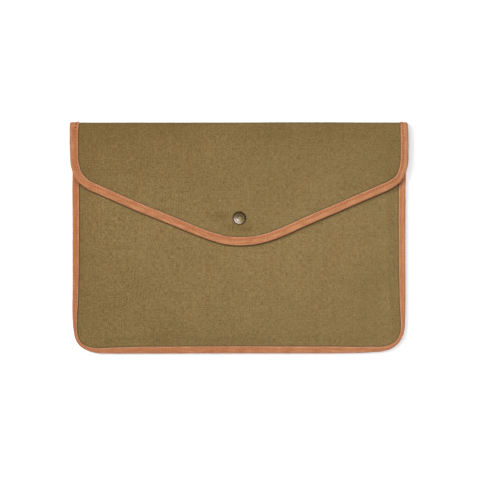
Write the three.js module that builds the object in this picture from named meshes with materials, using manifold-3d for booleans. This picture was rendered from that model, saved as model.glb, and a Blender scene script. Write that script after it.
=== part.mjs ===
// Envelope laptop sleeve, closed and lying on its back: canvas panels, leather bindings and a snap.
// Millimetres. +Z is up, out of the front, and +Y runs towards the top fold.
// The origin lies on the resting surface, under the middle of the sleeve.
import * as THREE from "three";
import { mergeVertices } from "three/addons/utils/BufferGeometryUtils.js";
import Module from "manifold-3d";

// Overall sizes, measured over the leather
const FLAP_WIDTH = 390;
const POCKET_WIDTH = 383;
const HEIGHT = 266;
const POCKET_CORNER_R = 33;

// Thicknesses, the clearance between neighbouring pieces, and the room for padding in the seams
const CANVAS = 1.5;
const LEATHER = 1;
const GAP = 0.3;
const SEAM_PADDING = 1;

// Flap outline: straight sides, rounded corners and a shallow rounded point
const FLAP_DROP = 142.3;
const FLAP_FALL = THREE.MathUtils.degToRad(22.9);
const FLAP_CORNER_R = 42;
const FLAP_TIP_R = 102;

// Pocket: the front panel swells from its seams, and its mouth lies under the fold
const CROWN = 7.4;
const CROWN_REACH = 80;
const CROWN_START = 14;
const MOUTH_BELOW_TOP = 24;
const MOUTH_DROP = 0.5;
const MOUTH_DROP_LENGTH = 38;
const WIDENS_FROM = 62;

// How the canvas leaves its flat margins, and how the flap lies over the pocket
const MARGIN = 9.6;
const LIFT_LENGTH = 18;
const FLAP_CLEARANCE = 0.6;
const FLAP_RIDE = 2.4;
const FLAP_ROLL = 18;
const RIDE_SOFTNESS = 1;
const FOLD_BOW = 0.8;
const FOLD_BOW_FROM = 12;
const FOLD_BOW_LENGTH = 20;

// Bindings: width of the leg on each face, and the rounding of the folded edge
const BACK_COVER = 8;
const UNDER_FLAP_COVER = 9;
const EDGE_R = 1.25;
const JOINT_BELOW_TOP = 21;
const FLAP_SIDE_COVER = 9.3;
const FLAP_TIP_COVER = 9.9;

// Leather that shows on the front of the pocket, by distance round the edge from its bottom middle
const FRONT_COVER = [
  { round: 0, cover: 8.3 },
  { round: 110, cover: 8.2 },
  { round: 150, cover: 7 },
  { round: 185, cover: 4.5 },
  { round: 216, cover: 5.6 },
  { round: 235, cover: 6.2 },
  { round: 275, cover: 6.9 },
  { round: 340, cover: 7.9 },
];

// Snap: radii and heights, from the faces of the canvas that it is set in
const SNAP_Y = 22.5;
const CAP_R = 7.5;
const CAP_RISE = 3.2;
const NECK_R = 3;
const SOCKET_R = 5.2;
const SOCKET_T = 0.9;
const SOCKET_BORE_R = 2.3;
const POST_R = 1.5;
const HEAD_R = 1.9;
const COLLAR_R = 4.2;
const COLLAR_T = 0.6;
const STUD_FLANGE_T = 0.8;
const ROUND_STEPS = 24;

// Steps of the grids that the panels and strips are built on
const CORNER_STEPS = 6;
const SLOPE_STEPS = 5;
const TIP_STEPS = 3;
const FOLD_STEPS = 6;
const SIDE_ROWS = [-60, -20, 20, 62, 73, 84, 95];
const TOP_ROWS = [105, 112, 117, 122];
const ROLL_ROWS = [4, 9, 15, 22];
const FLAP_ROWS = [0.2, 0.4, 0.6, 0.8, 0.92, 1];
const FRONT_ROWS = [-88, -75];
const FRONT_COLUMNS = [0, 8.2, 12, 17, 24, 34, 48, 66, 90, 130];

// Levels and lines that follow from the sizes above
const TOP = HEIGHT / 2;
const BOTTOM = -HEIGHT / 2;
const INSET = LEATHER + GAP;
const BACK_SEAM = LEATHER + GAP;
const FRONT_SEAM = BACK_SEAM + CANVAS + SEAM_PADDING;
const POCKET_STACK = 2 * CANVAS + SEAM_PADDING;
const FLAP_SEAT = FRONT_SEAM + CANVAS + 2 * (LEATHER + GAP) + FLAP_CLEARANCE;
const FOLD_R = (FLAP_SEAT + CANVAS - BACK_SEAM) / 2;
const FOLD_Z = BACK_SEAM + FOLD_R;
const FOLD_Y = TOP - INSET - FOLD_R;
const MOUTH = TOP - MOUTH_BELOW_TOP;
const JOINT = TOP - JOINT_BELOW_TOP;
const FLAP_HALF = FLAP_WIDTH / 2;
const POCKET_HALF = POCKET_WIDTH / 2;
const FLAT_HALF = POCKET_HALF - POCKET_CORNER_R;
const CORNER_ROUND = (POCKET_CORNER_R * Math.PI) / 2;
const TIP_Y = TOP - FLAP_DROP;
const POINT_Y = TIP_Y - FLAP_TIP_R * (1 / Math.cos(FLAP_FALL) - 1);
const FLAP_TURN = Math.PI / 2 - FLAP_FALL;
const FLAP_CORNER_X = FLAP_HALF - FLAP_CORNER_R;
const FLAP_CORNER_Y =
  POINT_Y + FLAP_HALF * Math.tan(FLAP_FALL) + FLAP_CORNER_R * Math.tan(FLAP_TURN / 2);

const wasm = await Module();
wasm.setup();

const ease = (t) => THREE.MathUtils.smoothstep(t, 0, 1);
const softMax = (a, b) => (a + b + Math.hypot(a - b, RIDE_SOFTNESS)) / 2;
const mirrored = (station) => ({ ...station, x: -station.x, inX: -station.inX });

// Width of leather on the pocket's front at a distance round its edge
function frontCover(round) {
  const after = FRONT_COVER.findIndex((row) => row.round > round);
  if (after < 0) {
    return FRONT_COVER.at(-1).cover;
  }
  const a = FRONT_COVER[after - 1];
  const b = FRONT_COVER[after];
  return THREE.MathUtils.mapLinear(round, a.round, b.round, a.cover, b.cover);
}

// Half the pocket's width at a height: even below, and widening to the flap's width at the fold
function pocketHalf(y) {
  return THREE.MathUtils.lerp(POCKET_HALF, FLAP_HALF, ease((y - WIDENS_FROM) / (FOLD_Y - WIDENS_FROM)));
}

// How far a point lies inside the pocket's outline, and how far round that its nearest edge is
function fromPocketEdge(x, y) {
  const across = Math.abs(x) - FLAT_HALF;
  const down = BOTTOM + POCKET_CORNER_R - y;
  if (across > 0 && down > 0) {
    const round = FLAT_HALF + POCKET_CORNER_R * Math.atan2(across, down);
    return { inside: POCKET_CORNER_R - Math.hypot(across, down), round };
  }
  if (down > across) {
    return { inside: y - BOTTOM, round: Math.min(Math.abs(x), FLAT_HALF) };
  }
  return { inside: pocketHalf(y) - Math.abs(x), round: FLAT_HALF + CORNER_ROUND - down };
}

// Fullness of the pocket: a parabola in a smooth distance from sides and bottom, less at the fold
function fullness(x, y) {
  const across = Math.max(pocketHalf(y) - Math.abs(x), 0);
  const up = y - BOTTOM;
  const reach = across + up - Math.hypot(across, up);
  const swell = 1 - (1 - Math.min(reach / CROWN_REACH, 1)) ** 2;
  const towardsFold = 1 - MOUTH_DROP * ease((y - FOLD_Y + MOUTH_DROP_LENGTH) / MOUTH_DROP_LENGTH);
  return CROWN * swell * towardsFold;
}

// Rise of the front panel above its seam: the fullness, eased in from where the leather ends
function crown(x, y) {
  const { inside, round } = fromPocketEdge(x, y);
  return fullness(x, y) * ease((inside - frontCover(round) - GAP) / CROWN_START);
}

// Height of the back's lower face: flat on the ground, lifted at the bindings and at the fold
function backLift(x, y) {
  const { inside } = fromPocketEdge(x, y);
  const atSeam = 1 - ease((inside - MARGIN) / LIFT_LENGTH);
  const atFold = 1 - ease((FOLD_Y - y) / LIFT_LENGTH);
  return BACK_SEAM * Math.max(atSeam, atFold);
}

// Height of the flap's upper face: from the fold it rolls up to ride on the pocket
function flapFace(x, y) {
  const over = softMax(FLAP_SEAT, FRONT_SEAM + CANVAS + fullness(x, y) + FLAP_RIDE);
  return CANVAS + THREE.MathUtils.lerp(FLAP_SEAT, over, ease((FOLD_Y - y) / FLAP_ROLL));
}

// Centre line of the fold, which bows out a little between the bindings
function foldLine(x) {
  return FOLD_Y + FOLD_BOW * ease((FLAP_HALF - Math.abs(x) - FOLD_BOW_FROM) / FOLD_BOW_LENGTH);
}

// Points of the folded canvas piece, a distance out from its outer face
const PLACE = {
  back: (x, y, out) => new THREE.Vector3(x, y, backLift(x, y) - out),
  fold: (x, angle, out) => {
    const r = FOLD_R + out;
    return new THREE.Vector3(x, foldLine(x) + r * Math.sin(angle), FOLD_Z - r * Math.cos(angle));
  },
  flap: (x, y, out) => new THREE.Vector3(x, y, flapFace(x, y) + out),
};

// The right side of the flap, and the right half of the pocket's corner and the flap's lower edge,
// as stations on the outer outline: where each lies, which way is inwards, how wide the leather is
const FLAP_SIDE = { x: FLAP_HALF, inX: -1, inAt: 0, cover: FLAP_SIDE_COVER };

function pocketCorner() {
  const stations = [];
  for (let i = 0; i <= CORNER_STEPS; i++) {
    const a = ((Math.PI / 2) * i) / CORNER_STEPS;
    const x = FLAT_HALF + POCKET_CORNER_R * Math.sin(a);
    const at = BOTTOM + POCKET_CORNER_R * (1 - Math.cos(a));
    stations.push({ on: "back", x, at, inX: -Math.sin(a), inAt: Math.cos(a) });
  }
  return stations;
}

function flapLowerEdge() {
  const corner = [];
  for (let i = 0; i <= CORNER_STEPS; i++) {
    const a = (FLAP_TURN * i) / CORNER_STEPS;
    const x = FLAP_CORNER_X + FLAP_CORNER_R * Math.cos(a);
    const at = FLAP_CORNER_Y - FLAP_CORNER_R * Math.sin(a);
    corner.push({ on: "flap", x, at, inX: -Math.cos(a), inAt: Math.sin(a), cover: FLAP_SIDE_COVER });
  }
  const tip = [];
  for (let i = 0; i <= TIP_STEPS; i++) {
    const a = FLAP_FALL * (1 - i / TIP_STEPS);
    const x = FLAP_TIP_R * Math.sin(a);
    const at = TIP_Y + FLAP_TIP_R * (1 - Math.cos(a));
    tip.push({ on: "flap", x, at, inX: -Math.sin(a), inAt: Math.cos(a), cover: FLAP_TIP_COVER });
  }
  const slope = [];
  for (let i = 1; i < SLOPE_STEPS; i++) {
    const t = i / SLOPE_STEPS;
    const x = THREE.MathUtils.lerp(corner.at(-1).x, tip[0].x, t);
    const at = THREE.MathUtils.lerp(corner.at(-1).at, tip[0].at, t);
    const cover = THREE.MathUtils.lerp(FLAP_SIDE_COVER, FLAP_TIP_COVER, t);
    slope.push({ ...tip[0], x, at, cover });
  }
  return [...corner, ...slope, ...tip];
}

// One closed body between two faces given as rows of points, with a rim all round
function sheetSolid(outer, inner) {
  const rows = outer.length;
  const columns = outer[0].length;
  const index = (side, r, c) => (side * rows + r) * columns + c;
  const triangles = [];
  const quad = (a, b, c, d) => triangles.push(a, b, c, a, c, d);
  for (let r = 0; r + 1 < rows; r++) {
    for (let c = 0; c + 1 < columns; c++) {
      quad(index(0, r, c), index(0, r, c + 1), index(0, r + 1, c + 1), index(0, r + 1, c));
      quad(index(1, r, c), index(1, r + 1, c), index(1, r + 1, c + 1), index(1, r, c + 1));
    }
    const last = columns - 1;
    quad(index(0, r, 0), index(0, r + 1, 0), index(1, r + 1, 0), index(1, r, 0));
    quad(index(0, r, last), index(1, r, last), index(1, r + 1, last), index(0, r + 1, last));
  }
  for (let c = 0; c + 1 < columns; c++) {
    const last = rows - 1;
    quad(index(0, 0, c), index(1, 0, c), index(1, 0, c + 1), index(0, 0, c + 1));
    quad(index(0, last, c), index(0, last, c + 1), index(1, last, c + 1), index(1, last, c));
  }
  const positions = [...outer.flat(), ...inner.flat()].flatMap((p) => p.toArray());
  const geometry = new THREE.BufferGeometry();
  geometry.setAttribute("position", new THREE.Float32BufferAttribute(positions, 3));
  geometry.setIndex(triangles);
  return geometry;
}

// A turned body: the profile runs from the axis at the bottom to the axis at the top
function turned(profile, x, y, z) {
  const points = profile.map(([r, h]) => new THREE.Vector2(r, h));
  const geometry = new THREE.LatheGeometry(points, ROUND_STEPS);
  return geometry.rotateX(Math.PI / 2).translate(x, y, z);
}

function solidOf(geometry) {
  const bare = geometry.clone();
  bare.deleteAttribute("normal");
  bare.deleteAttribute("uv");
  const merged = mergeVertices(bare, 1e-4);
  const vertProperties = new Float32Array(merged.attributes.position.array);
  const triVerts = new Uint32Array(merged.index.array);
  return new wasm.Manifold(new wasm.Mesh({ numProp: 3, vertProperties, triVerts }));
}

// A panel with a round hole for the snap, cut between two heights
function drilled(panel, radius, low, high) {
  const drill = new THREE.CylinderGeometry(radius, radius, high - low, ROUND_STEPS);
  drill.rotateX(Math.PI / 2).translate(0, SNAP_Y, (low + high) / 2);
  const mesh = solidOf(panel).subtract(solidOf(drill)).getMesh();
  const geometry = new THREE.BufferGeometry();
  geometry.setAttribute("position", new THREE.BufferAttribute(mesh.vertProperties, 3));
  geometry.setIndex(new THREE.BufferAttribute(mesh.triVerts, 1));
  return geometry;
}

// The leather strip across its width, from the edge on the outer face round to the edge on the
// inner face: distance in from the outline and out from the canvas, at a depth in the leather
function stripLine(depth, stack, outerCover, innerCover) {
  const outer = GAP + LEATHER - depth;
  const inner = -(stack + GAP + LEATHER) + depth;
  const r = EDGE_R - depth;
  const bend = r * (1 - Math.SQRT1_2);
  return [
    [outerCover, outer],
    [outerCover / 2, outer],
    [depth + r, outer],
    [depth + bend, outer - bend],
    [depth, outer - r],
    [depth, inner + r],
    [depth + bend, inner + bend],
    [depth + r, inner],
    [innerCover / 2, inner],
    [innerCover, inner],
  ];
}

const foldAngles = () => Array.from({ length: FOLD_STEPS + 1 }, (_, i) => (Math.PI * i) / FOLD_STEPS);
const flapCovers = (station) => [station.cover, UNDER_FLAP_COVER];

// A binding: the strip laid along the stations of an edge, round a stack of canvas
function binding(stations, stack, covers) {
  const face = (depth) =>
    stations.map((s) =>
      stripLine(depth, stack, ...covers(s)).map(([inwards, out]) =>
        PLACE[s.on](s.x + s.inX * inwards, s.at + s.inAt * inwards, out),
      ),
    );
  return sheetSolid(face(0), face(LEATHER));
}

// Columns of the folded canvas: where each lies across, and where it ends on the flap's lower edge
function foldedColumns() {
  const half = flapLowerEdge().map((s) => ({ x: s.x + s.inX * INSET, end: s.at + s.inAt * INSET }));
  return [...half, ...half.slice(0, -1).reverse().map((c) => ({ ...c, x: -c.x }))];
}

// Canvas back: rows from the bottom edge up to the fold
function backPanel() {
  const columns = foldedColumns();
  const across = (width) => columns.map((c) => (c.x / columns[0].x) * width);
  const rows = pocketCorner().map((s) => ({
    y: s.at + s.inAt * INSET,
    xs: across(s.x + s.inX * INSET),
  }));
  for (const y of [...SIDE_ROWS, ...TOP_ROWS]) {
    rows.push({ y, xs: across(pocketHalf(y) - INSET) });
  }
  const face = (out) => [
    ...rows.map(({ y, xs }) => xs.map((x) => PLACE.back(x, y, out))),
    columns.map(({ x }) => PLACE.back(x, foldLine(x) - GAP, out)),
  ];
  return sheetSolid(face(0), face(-CANVAS));
}

// Canvas top fold: half a tube between the back and the flap
function topFold() {
  const columns = foldedColumns();
  const face = (out) => foldAngles().map((a) => columns.map(({ x }) => PLACE.fold(x, a, out)));
  return sheetSolid(face(0), face(-CANVAS));
}

// Canvas flap: rows from the fold down to the flap's lower edge
function flapPanel() {
  const columns = foldedColumns();
  const rolled = FOLD_Y - ROLL_ROWS.at(-1);
  const face = (out) => [
    columns.map(({ x }) => PLACE.flap(x, foldLine(x) - GAP, out)),
    ...ROLL_ROWS.map((below) => columns.map(({ x }) => PLACE.flap(x, FOLD_Y - below, out))),
    ...FLAP_ROWS.map((t) =>
      columns.map(({ x, end }) => PLACE.flap(x, THREE.MathUtils.lerp(rolled, end, t), out)),
    ),
  ];
  const upper = flapFace(0, SNAP_Y);
  const sheet = sheetSolid(face(0), face(-CANVAS));
  return drilled(sheet, NECK_R + GAP, upper - CANVAS - 1, upper + 1);
}

// Canvas front of the pocket: columns across, rows from the bottom edge to the mouth
function frontPanel() {
  const shares = FRONT_COLUMNS.map((inside) => 1 - inside / POCKET_HALF);
  const columns = [...shares.map((u) => -u), 0, ...shares.reverse()];
  const edge = pocketCorner().map((s) => ({ y: s.at + s.inAt * INSET, width: s.x + s.inX * INSET }));
  for (const y of [...FRONT_ROWS, ...SIDE_ROWS, MOUTH]) {
    edge.push({ y, width: pocketHalf(y) - INSET });
  }
  const face = (above) =>
    edge.map(({ y, width }) =>
      columns.map((u) => new THREE.Vector3(u * width, y, FRONT_SEAM + above + crown(u * width, y))),
    );
  const lower = FRONT_SEAM + crown(0, SNAP_Y);
  return drilled(sheetSolid(face(CANVAS), face(0)), POST_R + GAP, lower - 1, lower + CANVAS + 1);
}

// Leather round the pocket: down the right side, along the bottom and up the left side
function pocketBinding() {
  const side = [JOINT, 105, ...SIDE_ROWS.toReversed()].map((at) => ({
    on: "back",
    x: pocketHalf(at),
    at,
    inX: -1,
    inAt: 0,
  }));
  const bottom = [120, 60].map((x) => ({ on: "back", x, at: BOTTOM, inX: 0, inAt: 1 }));
  const right = [...side, ...pocketCorner().reverse(), ...bottom];
  const stations = [...right, ...right.map(mirrored).reverse()];
  const covers = (s) => [BACK_COVER, frontCover(fromPocketEdge(s.x, s.at).round)];
  return binding(stations, POCKET_STACK, covers);
}

// Leather round the flap: from the left end of the fold along the flap's edge to the right end
function flapBinding() {
  const right = flapLowerEdge().reverse();
  for (const at of [FLAP_CORNER_Y + 12, FOLD_Y - 15, FOLD_Y - 9, FOLD_Y - 4, FOLD_Y - GAP]) {
    right.push({ ...FLAP_SIDE, on: "flap", at });
  }
  return binding([...right.slice(1).map(mirrored).reverse(), ...right], CANVAS, flapCovers);
}

// Leather over one end of the fold, and down the back to the pocket's leather
function foldBinding(end) {
  const right = foldAngles().reverse().map((at) => ({ ...FLAP_SIDE, on: "fold", at }));
  for (const at of [122, 117, JOINT + GAP]) {
    right.push({ ...FLAP_SIDE, on: "back", x: pocketHalf(at), at });
  }
  return binding(end > 0 ? right : right.map(mirrored).reverse(), CANVAS, flapCovers);
}

// Snap cap with its neck and socket, set in the flap
function snapCap() {
  const under = -CANVAS - GAP;
  const profile = [
    [0, GAP + 0.6],
    [SOCKET_BORE_R, GAP + 0.6],
    [SOCKET_BORE_R, under - SOCKET_T],
    [SOCKET_R, under - SOCKET_T],
    [SOCKET_R, under],
    [NECK_R, under],
    [NECK_R, GAP],
    [CAP_R - 0.7, GAP],
    [CAP_R - 0.15, GAP + 0.15],
    [CAP_R, GAP + 0.5],
    [CAP_R - 0.3, GAP + 1],
    [CAP_R * 0.84, CAP_RISE * 0.62],
    [CAP_R * 0.66, CAP_RISE * 0.82],
    [CAP_R * 0.4, CAP_RISE * 0.95],
    [0, CAP_RISE],
  ];
  return turned(profile, 0, SNAP_Y, flapFace(0, SNAP_Y));
}

// Snap stud with its collar and flange, set in the front panel
function snapStud() {
  const below = -CANVAS - GAP;
  const profile = [
    [0, below - STUD_FLANGE_T],
    [COLLAR_R, below - STUD_FLANGE_T],
    [COLLAR_R, below],
    [POST_R, below],
    [POST_R, GAP],
    [COLLAR_R, GAP],
    [COLLAR_R, GAP + COLLAR_T],
    [POST_R, GAP + COLLAR_T],
    [POST_R, GAP + COLLAR_T + 0.9],
    [HEAD_R, GAP + COLLAR_T + 1.4],
    [HEAD_R, GAP + COLLAR_T + 2.4],
    [POST_R, GAP + COLLAR_T + 2.9],
    [0, GAP + COLLAR_T + 2.9],
  ];
  return turned(profile, 0, SNAP_Y, FRONT_SEAM + CANVAS + crown(0, SNAP_Y));
}

const canvas = { color: 0x897249, roughness: 0.92, metalness: 0 };
const leather = { color: 0xbd7e57, roughness: 0.6, metalness: 0 };
const brass = { color: 0x8b7c62, roughness: 0.35, metalness: 1 };

const sleeve = new THREE.Group();
sleeve.name = "envelope_laptop_sleeve";
for (const [name, geometry, look] of [
  ["back_panel", backPanel(), canvas],
  ["top_fold", topFold(), canvas],
  ["flap_panel", flapPanel(), canvas],
  ["front_panel", frontPanel(), canvas],
  ["pocket_binding", pocketBinding(), leather],
  ["flap_binding", flapBinding(), leather],
  ["fold_binding_left", foldBinding(-1), leather],
  ["fold_binding_right", foldBinding(1), leather],
  ["snap_cap", snapCap(), brass],
  ["snap_stud", snapStud(), brass],
]) {
  const mesh = new THREE.Mesh(geometry, new THREE.MeshStandardMaterial(look));
  mesh.name = name;
  sleeve.add(mesh);
}

export default sleeve;
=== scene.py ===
"""Looks of a canvas envelope sleeve for a laptop: canvas, leather bindings, stitches, snap and stage."""
import math
from types import SimpleNamespace

import bpy
import numpy as np
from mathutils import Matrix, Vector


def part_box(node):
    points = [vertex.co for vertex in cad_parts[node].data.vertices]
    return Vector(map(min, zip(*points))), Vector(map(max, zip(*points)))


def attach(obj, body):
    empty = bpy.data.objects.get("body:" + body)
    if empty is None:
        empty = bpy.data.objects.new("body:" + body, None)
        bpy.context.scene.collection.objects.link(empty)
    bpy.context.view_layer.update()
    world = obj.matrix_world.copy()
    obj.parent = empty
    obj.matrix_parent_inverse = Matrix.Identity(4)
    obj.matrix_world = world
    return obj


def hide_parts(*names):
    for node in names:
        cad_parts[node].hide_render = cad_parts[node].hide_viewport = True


bl_info = {
    "name": "Envelope laptop sleeve",
    "version": (1, 0, 0),
    "blender": (4, 5, 0),
    "location": "3D View > Sidebar > Sleeve",
    "description": "Dresses the frame of a laptop sleeve in canvas, bound leather, thread and brass",
    "category": "Object",
}

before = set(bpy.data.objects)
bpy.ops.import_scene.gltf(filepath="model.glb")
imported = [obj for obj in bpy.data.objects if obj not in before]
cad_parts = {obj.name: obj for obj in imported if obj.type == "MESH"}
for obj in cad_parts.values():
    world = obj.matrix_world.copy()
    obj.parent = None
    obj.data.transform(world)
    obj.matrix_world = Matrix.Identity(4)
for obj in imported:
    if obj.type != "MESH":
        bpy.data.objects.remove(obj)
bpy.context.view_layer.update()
FLAP_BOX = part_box("flap_binding")
FOLD_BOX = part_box("fold_binding_right")
POCKET_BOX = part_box("pocket_binding")
CAP_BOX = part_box("snap_cap")
MM = 0.001
ROW_PITCH = 3 * MM

# Leather that shows on the front of the pocket, by distance round the edge from its bottom middle
FRONT_COVER_ROUND = np.array([0, 110, 150, 172, 185, 200, 216, 235, 275, 340]) * MM
FRONT_COVER_WIDTH = np.array([8.0, 7.8, 6.6, 4.9, 3.7, 3.9, 4.9, 6.4, 7.1, 7.6]) * MM

# Leather that shows on the flap, by distance across from its middle, on the left and on the right
FLAP_COVER_ACROSS = np.array([0, 40, 100, 170, 181, 188, 193, 195]) * MM
FLAP_COVER_LEFT = np.array([9.9, 9.4, 9.4, 9.5, 9.3, 9.2, 9.7, 9.5]) * MM
FLAP_COVER_RIGHT = np.array([9.9, 9.4, 9.4, 9.5, 9.0, 8.5, 8.7, 8.9]) * MM

# Pulls of the sewing on the outline: the place, shift and reach of each
PULL_COLUMNS = ("x", "y", "shift_x", "shift_y", "reach")
PULLS = np.array(
    [
        [-181, -120, -1.6, -1.45, 9],
        [163, -130, 0, 1.6, 12],
        [190, -104, -0.7, 0, 10],
        [196, 131, -1.1, 0, 8],
        [-194, 88, 0.8, 0, 9],
        [-115, 36, 0, -0.8, 20],
        [-32, -1, 0, 0.9, 11],
        [52, 8, 0, -1.2, 16],
        [-192, -10, -0.6, 0, 70],
        [195, 0, -0.55, 0, 110],
        [-192, 55, -0.5, 0, 16],
        [-192, -82, -0.45, 0, 13],
        [-192, -107, 0.5, 0, 8],
        [195, 100, -0.4, 0, 16],
        [75, 132, 0, 0.3, 45],
        [-185, 132, 1.0, 0, 5],
        [-115, -133, 0, -0.25, 40],
        [136, -133, 0, 0.35, 18],
        [190, 43, 0.15, 0, 13],
        [100, 26, 0, -0.45, 30],
        [2, -8, 0, 0.3, 14],
        [183, 69, 1.1, -0.75, 6],
    ]
) * MM

# Lengths of the gentle swells in the cloth of the front and of the flap
FRONT_SWELLS = np.array([47, 61, 83, 119, 171]) * MM
FLAP_SWELLS = np.array([43, 57, 79, 113, 163]) * MM

# Creases of the flap round the snap: the place of each, its reach across and up, and its strength
CREASE_COLUMNS = ("x", "y", "reach_x", "reach_y", "strength")
CREASES = np.array(
    [
        [2 * MM, 11 * MM, 13 * MM, 5 * MM, 0.45],
        [-23 * MM, 24 * MM, 8 * MM, 2.2 * MM, 0.85],
        [-11 * MM, 12 * MM, 5 * MM, 2.5 * MM, 0.35],
        [7.5 * MM, 9.5 * MM, 5 * MM, 2.2 * MM, 0.65],
    ]
)


# Properties

def length(name, description, default):
    """A distance in metres."""
    return bpy.props.FloatProperty(
        name=name, description=description, default=default, unit="LENGTH", precision=5
    )


def share(name, description, default):
    """A plain number, mostly between 0 and 1."""
    return bpy.props.FloatProperty(name=name, description=description, default=default)


def colour(name, description, default):
    """A linear colour."""
    return bpy.props.FloatVectorProperty(
        name=name, description=description, default=default, size=3, subtype="COLOR", min=0, max=1
    )


class SleeveForm(bpy.types.PropertyGroup):
    """Sizes of the canvas: the pocket and its fullness, the fold and the flap."""

    flap_width: length("Flap width", "Over the leather", 2 * FLAP_BOX[1].x)
    pocket_width: length("Pocket width", "Over the leather, at the bottom", 383 * MM)
    height: length("Height", "From the bottom edge to the top fold", FOLD_BOX[1].y - POCKET_BOX[0].y)
    pocket_corner: length("Pocket corner", "Radius of the bottom corners", 33 * MM)
    canvas: length("Canvas", "Thickness of each panel", 1.5 * MM)
    leather: length("Leather", "Thickness of each strip", 1 * MM)
    gap: length("Gap", "Clearance between neighbouring pieces", 0.3 * MM)
    seam_padding: length("Seam padding", "Room between the panels in a seam", 1 * MM)
    flap_drop: length("Flap drop", "From the top fold to the flap's tip", FOLD_BOX[1].y - FLAP_BOX[0].y)
    flap_fall: bpy.props.FloatProperty(
        name="Flap fall",
        description="Slope of the flap's lower edge",
        default=math.radians(22.9),
        unit="ROTATION",
    )
    flap_corner: length("Flap corner", "Radius of the flap's corners", 42 * MM)
    flap_tip: length("Flap tip", "Radius of the flap's point", 102 * MM)
    crown: length("Crown", "Rise of the front panel above its seams", 7.4 * MM)
    crown_reach: length("Crown reach", "Distance over which the front panel rises", 80 * MM)
    crown_start: length("Crown start", "Distance over which it leaves the leather", 14 * MM)
    mouth_below_top: length("Mouth", "From the top fold to the pocket's mouth", 24 * MM)
    mouth_drop: share("Mouth drop", "Share of the fullness that is lost at the fold", 0.5)
    mouth_drop_length: length("Mouth drop length", "Distance over which it is lost", 38 * MM)
    widens_from: length("Widens from", "Height from which the pocket widens to the flap", 62 * MM)
    margin: length("Margin", "Flat margin of the back inside the outline", 9.6 * MM)
    lift_length: length("Lift length", "Distance over which the back comes down to the ground", 18 * MM)
    flap_clearance: length("Flap clearance", "Between the flap's leather and the pocket's", 0.6 * MM)
    flap_ride: length("Flap ride", "Height of the flap above the full pocket", 2.4 * MM)
    flap_roll: length("Flap roll", "Distance over which the flap rolls up from the fold", 18 * MM)
    ride_softness: length("Ride softness", "Rounding where the flap meets the pocket", 1 * MM)
    fold_bow: length("Fold bow", "How far the fold bows out between the bindings", 1.0 * MM)
    fold_bow_from: length("Fold bow from", "Where the bow begins, from the side", 4 * MM)
    fold_bow_rise: length("Fold bow rise", "Distance over which the bow grows from the side", 6 * MM)
    fold_bow_length: length("Fold bow length", "Distance over which the bow fades downwards", 20 * MM)
    swell: length("Swell", "Height of the gentle swells in the cloth", 0.35 * MM)
    pucker: length("Pucker", "Depth of the gathers beside the leather", 0.16 * MM)
    snap_draw: length("Snap draw", "Depth of the small folds round the snap", 0.9 * MM)
    crease: length("Crease", "Depth of a full crease near the snap", 0.3 * MM)


class BindingForm(bpy.types.PropertyGroup):
    """Sizes of the leather strips and of their stitches."""

    back_cover: length("Back cover", "Leather on the back of the pocket", 8 * MM)
    under_flap_cover: length("Under-flap cover", "Leather on the flap's lower face", 9 * MM)
    edge_radius: length("Edge radius", "Rounding of the folded edge", 1.25 * MM)
    joint_below_top: length("Joint", "From the top fold to the joint of the strips on the back", 21 * MM)
    stitch_pitch: length("Stitch pitch", "From one needle hole to the next", 3.7 * MM)
    stitch_inset: length("Stitch inset", "From the leather's cut edge to the stitches", 2.85 * MM)
    stitch_length: length("Stitch length", "Thread that shows between two holes", 2.9 * MM)
    thread: length("Thread", "Diameter of the thread", 0.62 * MM)
    groove: length("Groove", "Depth that the stitches draw the leather down", 0.16 * MM)
    needle_hole: length("Needle hole", "Further depth at each hole", 0.3 * MM)
    pillow: length("Pillow", "Rise of the leather between stitches and fold", 0.14 * MM)


class SnapForm(bpy.types.PropertyGroup):
    """Sizes of the snap's cap."""

    snap_y: length("Snap place", "Height of the snap on the flap", (CAP_BOX[0].y + CAP_BOX[1].y) / 2)
    cap_radius: length("Cap radius", "Outside radius of the cap", CAP_BOX[1].x)
    cap_rise: length("Cap rise", "Height of the dome above the flap", 3.2 * MM)
    rim_radius: length("Rim radius", "Radius of the rolled rim's wire", 0.5 * MM)
    ring_groove: length("Ring groove", "Depth of the plain ring pressed into the dome", 0.3 * MM)
    ring_place: share("Ring place", "Place of that ring, as a share of the dome's radius", 0.58)
    ring_width: share("Ring width", "Width of that ring, as a share of the dome's radius", 0.13)
    neck_radius: length("Neck radius", "Radius of the neck through the flap", 3 * MM)
    socket_radius: length("Socket radius", "Radius of the socket under the flap", 5.2 * MM)
    socket_depth: length("Socket depth", "Thickness of the socket", 0.9 * MM)
    bore_radius: length("Bore radius", "Radius of the socket's bore", 2.3 * MM)


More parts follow.
